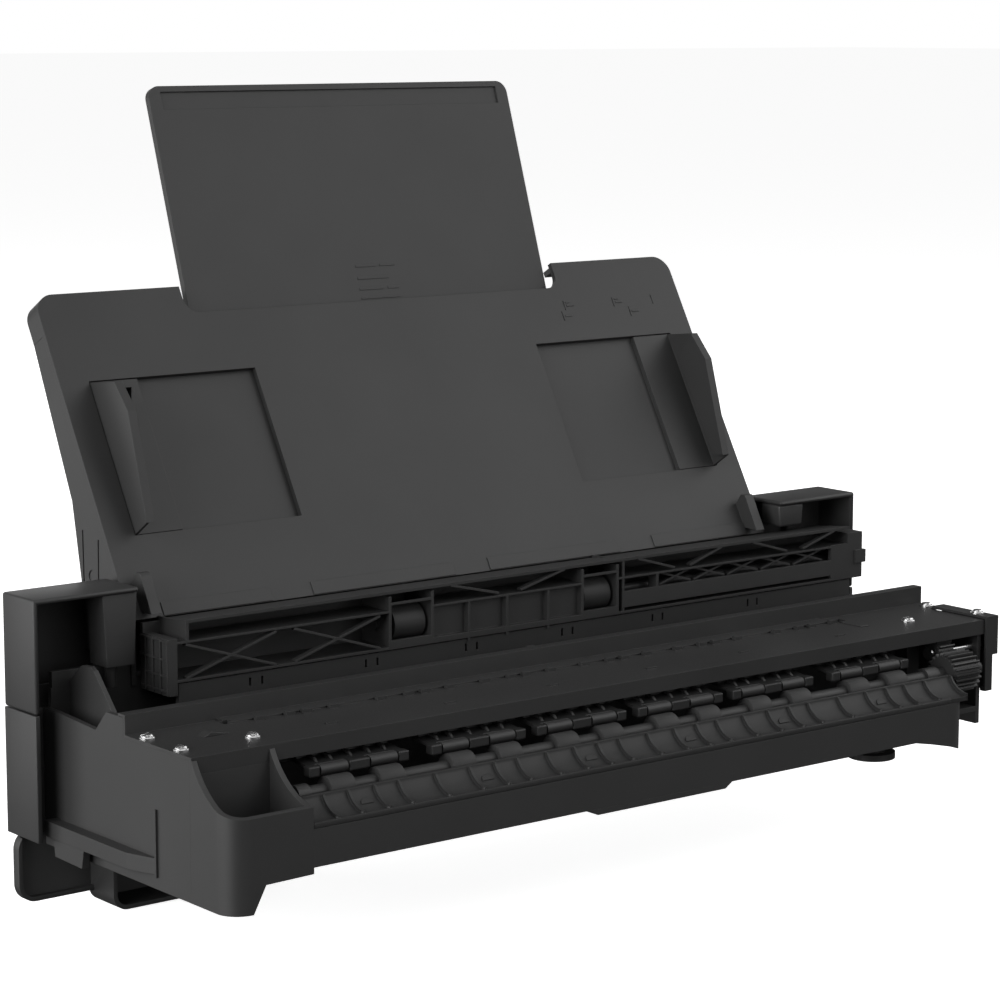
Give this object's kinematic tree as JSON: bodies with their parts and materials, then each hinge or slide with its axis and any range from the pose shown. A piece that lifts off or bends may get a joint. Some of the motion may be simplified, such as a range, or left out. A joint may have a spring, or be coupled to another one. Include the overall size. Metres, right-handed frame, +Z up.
{
  "type": "automatic sheet feeder accessory",
  "caption": "Black sheet feeder accessory with sloped paper tray, sliding side guides, tray extension, pick-up frame, sheet-metal top, feed rollers and sprung pinch rollers.",
  "frame": {"origin": "bottom centre of the whole part with the extension out", "axes": "+X across the sheets to the right seen from the front, +Y towards the back, +Z up"},
  "size_m": [0.474, 0.2528, 0.347],
  "materials": {
    "black_plastic": "fine spark-eroded texture, nearly matt",
    "black_sheet": "black coated sheet, low sheen",
    "bright_steel": "bright plated",
    "spring_wire": "drawn wire, dark",
    "grip_rubber": "matt rubber",
    "shaft_steel": "blackened steel",
    "gear_plastic": "smooth moulded",
    "roller_plastic": "smooth moulded"
  },
  "bodies": {
    "chassis": {"base_chassis": "black_plastic", "exit_guide": "black_plastic", "front_pocket": "black_plastic", "top_plate": "black_sheet", "plate_screws": "bright_steel", "gear_bracket": "black_sheet", "latch_plate": "black_plastic", "foot_disc": "black_plastic", "side_rail": "black_plastic", "side_clip": "black_plastic", "cover_left_upper": "black_plastic", "cover_left_lower": "black_plastic", "cover_right_upper": "black_plastic", "cover_right_lower": "black_plastic", "locating_post_left": "black_plastic", "locating_post_right": "black_plastic", "rear_trough": "black_plastic", "pickup_frame": "black_plastic", "separation_pads": "grip_rubber", "input_tray": "black_plastic", "tray_pads": "black_plastic", "tray_shell": "black_plastic", "bush_left": "gear_plastic", "bush_right": "gear_plastic", "idler_pin": "bright_steel", "pinch_springs": "spring_wire"},
    "pick_group": {"pick_shaft": "shaft_steel", "pick_roller_left": "grip_rubber", "pick_roller_right": "grip_rubber", "pick_gear": "gear_plastic"},
    "flag": {"paper_flag": "black_plastic"},
    "extension": {"tray_extension": "black_plastic"},
    "left_guide": {"guide_left": "black_plastic", "rack_left": "black_plastic"},
    "right_guide": {"guide_right": "black_plastic", "rack_right": "black_plastic"},
    "guide_pinion": {"pinion": "gear_plastic"},
    "feed_group": {"feed_shaft": "shaft_steel", "drive_gear": "gear_plastic", "feed_rollers_1": "grip_rubber", "feed_rollers_2": "grip_rubber", "feed_rollers_3": "grip_rubber", "feed_rollers_4": "grip_rubber", "feed_rollers_5": "grip_rubber", "feed_rollers_6": "grip_rubber"},
    "idler": {"idler_gear": "gear_plastic"},
    "holder_1": {"pinch_holder_1": "black_plastic"},
    "pinch_1": {"pinch_rollers_1": "roller_plastic"},
    "holder_2": {"pinch_holder_2": "black_plastic"},
    "pinch_2": {"pinch_rollers_2": "roller_plastic"},
    "holder_3": {"pinch_holder_3": "black_plastic"},
    "pinch_3": {"pinch_rollers_3": "roller_plastic"},
    "holder_4": {"pinch_holder_4": "black_plastic"},
    "pinch_4": {"pinch_rollers_4": "roller_plastic"},
    "holder_5": {"pinch_holder_5": "black_plastic"},
    "pinch_5": {"pinch_rollers_5": "roller_plastic"},
    "holder_6": {"pinch_holder_6": "black_plastic"},
    "pinch_6": {"pinch_rollers_6": "roller_plastic"}
  },
  "joints": [
    {"name": "extension_slide", "type": "slide", "parent": "chassis", "child": "extension", "axis": [0, 0.3123, 0.95], "range_m": [-0.085, 0]},
    {"name": "guide_slide", "type": "slide", "parent": "chassis", "child": "left_guide", "axis": [1, 0, 0], "range_m": [0, 0.06]},
    {"name": "guide_right_slide", "type": "slide", "parent": "chassis", "child": "right_guide", "axis": [-1, 0, 0], "range_m": [0, 0.06]},
    {"name": "pinion_spin", "type": "hinge", "parent": "chassis", "child": "guide_pinion", "pos_m": [0, 0.05716, 0.18422], "axis": [0, 0.8676, -0.4973], "range_deg": [0, 430]},
    {"name": "feed_spin", "type": "hinge", "parent": "chassis", "child": "feed_group", "pos_m": [0, -0.10642, 0.0713], "axis": [1, 0, 0], "continuous": true},
    {"name": "idler_spin", "type": "hinge", "parent": "chassis", "child": "idler", "pos_m": [0.2, -0.09342, 0.07855], "axis": [1, 0, 0], "continuous": true},
    {"name": "pick_spin", "type": "hinge", "parent": "chassis", "child": "pick_group", "pos_m": [0, -0.00142, 0.11], "axis": [1, 0, 0], "continuous": true},
    {"name": "flag_swing", "type": "hinge", "parent": "chassis", "child": "flag", "pos_m": [0, -0.03142, 0.087], "axis": [1, 0, 0], "range_deg": [0, 40], "stiffness_Nm_per_rad": 0.0006, "springref_deg": -17.19},
    {"name": "holder_1_lift", "type": "hinge", "parent": "chassis", "child": "holder_1", "pos_m": [-0.1485, -0.06042, 0.088], "axis": [-1, 0, 0], "range_deg": [0, 2.5], "stiffness_Nm_per_rad": 0.3, "springref_deg": -22.92},
    {"name": "pinch_1_spin", "type": "hinge", "parent": "holder_1", "child": "pinch_1", "pos_m": [-0.1485, -0.10302, 0.07906], "axis": [1, 0, 0], "continuous": true},
    {"name": "holder_2_lift", "type": "hinge", "parent": "chassis", "child": "holder_2", "pos_m": [-0.087, -0.06042, 0.088], "axis": [-1, 0, 0], "range_deg": [0, 2.5], "stiffness_Nm_per_rad": 0.3, "springref_deg": -22.92},
    {"name": "pinch_2_spin", "type": "hinge", "parent": "holder_2", "child": "pinch_2", "pos_m": [-0.087, -0.10302, 0.07906], "axis": [1, 0, 0], "continuous": true},
    {"name": "holder_3_lift", "type": "hinge", "parent": "chassis", "child": "holder_3", "pos_m": [-0.031, -0.06042, 0.088], "axis": [-1, 0, 0], "range_deg": [0, 2.5], "stiffness_Nm_per_rad": 0.3, "springref_deg": -22.92},
    {"name": "pinch_3_spin", "type": "hinge", "parent": "holder_3", "child": "pinch_3", "pos_m": [-0.031, -0.10302, 0.07906], "axis": [1, 0, 0], "continuous": true},
    {"name": "holder_4_lift", "type": "hinge", "parent": "chassis", "child": "holder_4", "pos_m": [0.0255, -0.06042, 0.088], "axis": [-1, 0, 0], "range_deg": [0, 2.5], "stiffness_Nm_per_rad": 0.3, "springref_deg": -22.92},
    {"name": "pinch_4_spin", "type": "hinge", "parent": "holder_4", "child": "pinch_4", "pos_m": [0.0255, -0.10302, 0.07906], "axis": [1, 0, 0], "continuous": true},
    {"name": "holder_5_lift", "type": "hinge", "parent": "chassis", "child": "holder_5", "pos_m": [0.0813, -0.06042, 0.088], "axis": [-1, 0, 0], "range_deg": [0, 2.5], "stiffness_Nm_per_rad": 0.3, "springref_deg": -22.92},
    {"name": "pinch_5_spin", "type": "hinge", "parent": "holder_5", "child": "pinch_5", "pos_m": [0.0813, -0.10302, 0.07906], "axis": [1, 0, 0], "continuous": true},
    {"name": "holder_6_lift", "type": "hinge", "parent": "chassis", "child": "holder_6", "pos_m": [0.143, -0.06042, 0.088], "axis": [-1, 0, 0], "range_deg": [0, 2.5], "stiffness_Nm_per_rad": 0.3, "springref_deg": -22.92},
    {"name": "pinch_6_spin", "type": "hinge", "parent": "holder_6", "child": "pinch_6", "pos_m": [0.143, -0.10302, 0.07906], "axis": [1, 0, 0], "continuous": true}
  ],
  "couplings": [
    {"joint": "guide_right_slide", "follows": "guide_slide", "ratio": 1},
    {"joint": "pinion_spin", "follows": "guide_slide", "rad_per_m": 125},
    {"joint": "idler_spin", "follows": "feed_spin", "ratio": -1.5714},
    {"joint": "pinch_1_spin", "follows": "feed_spin", "ratio": -2.3958},
    {"joint": "pinch_2_spin", "follows": "feed_spin", "ratio": -2.3958},
    {"joint": "pinch_3_spin", "follows": "feed_spin", "ratio": -2.3958},
    {"joint": "pinch_4_spin", "follows": "feed_spin", "ratio": -2.3958},
    {"joint": "pinch_5_spin", "follows": "feed_spin", "ratio": -2.3958},
    {"joint": "pinch_6_spin", "follows": "feed_spin", "ratio": -2.3958}
  ]
}
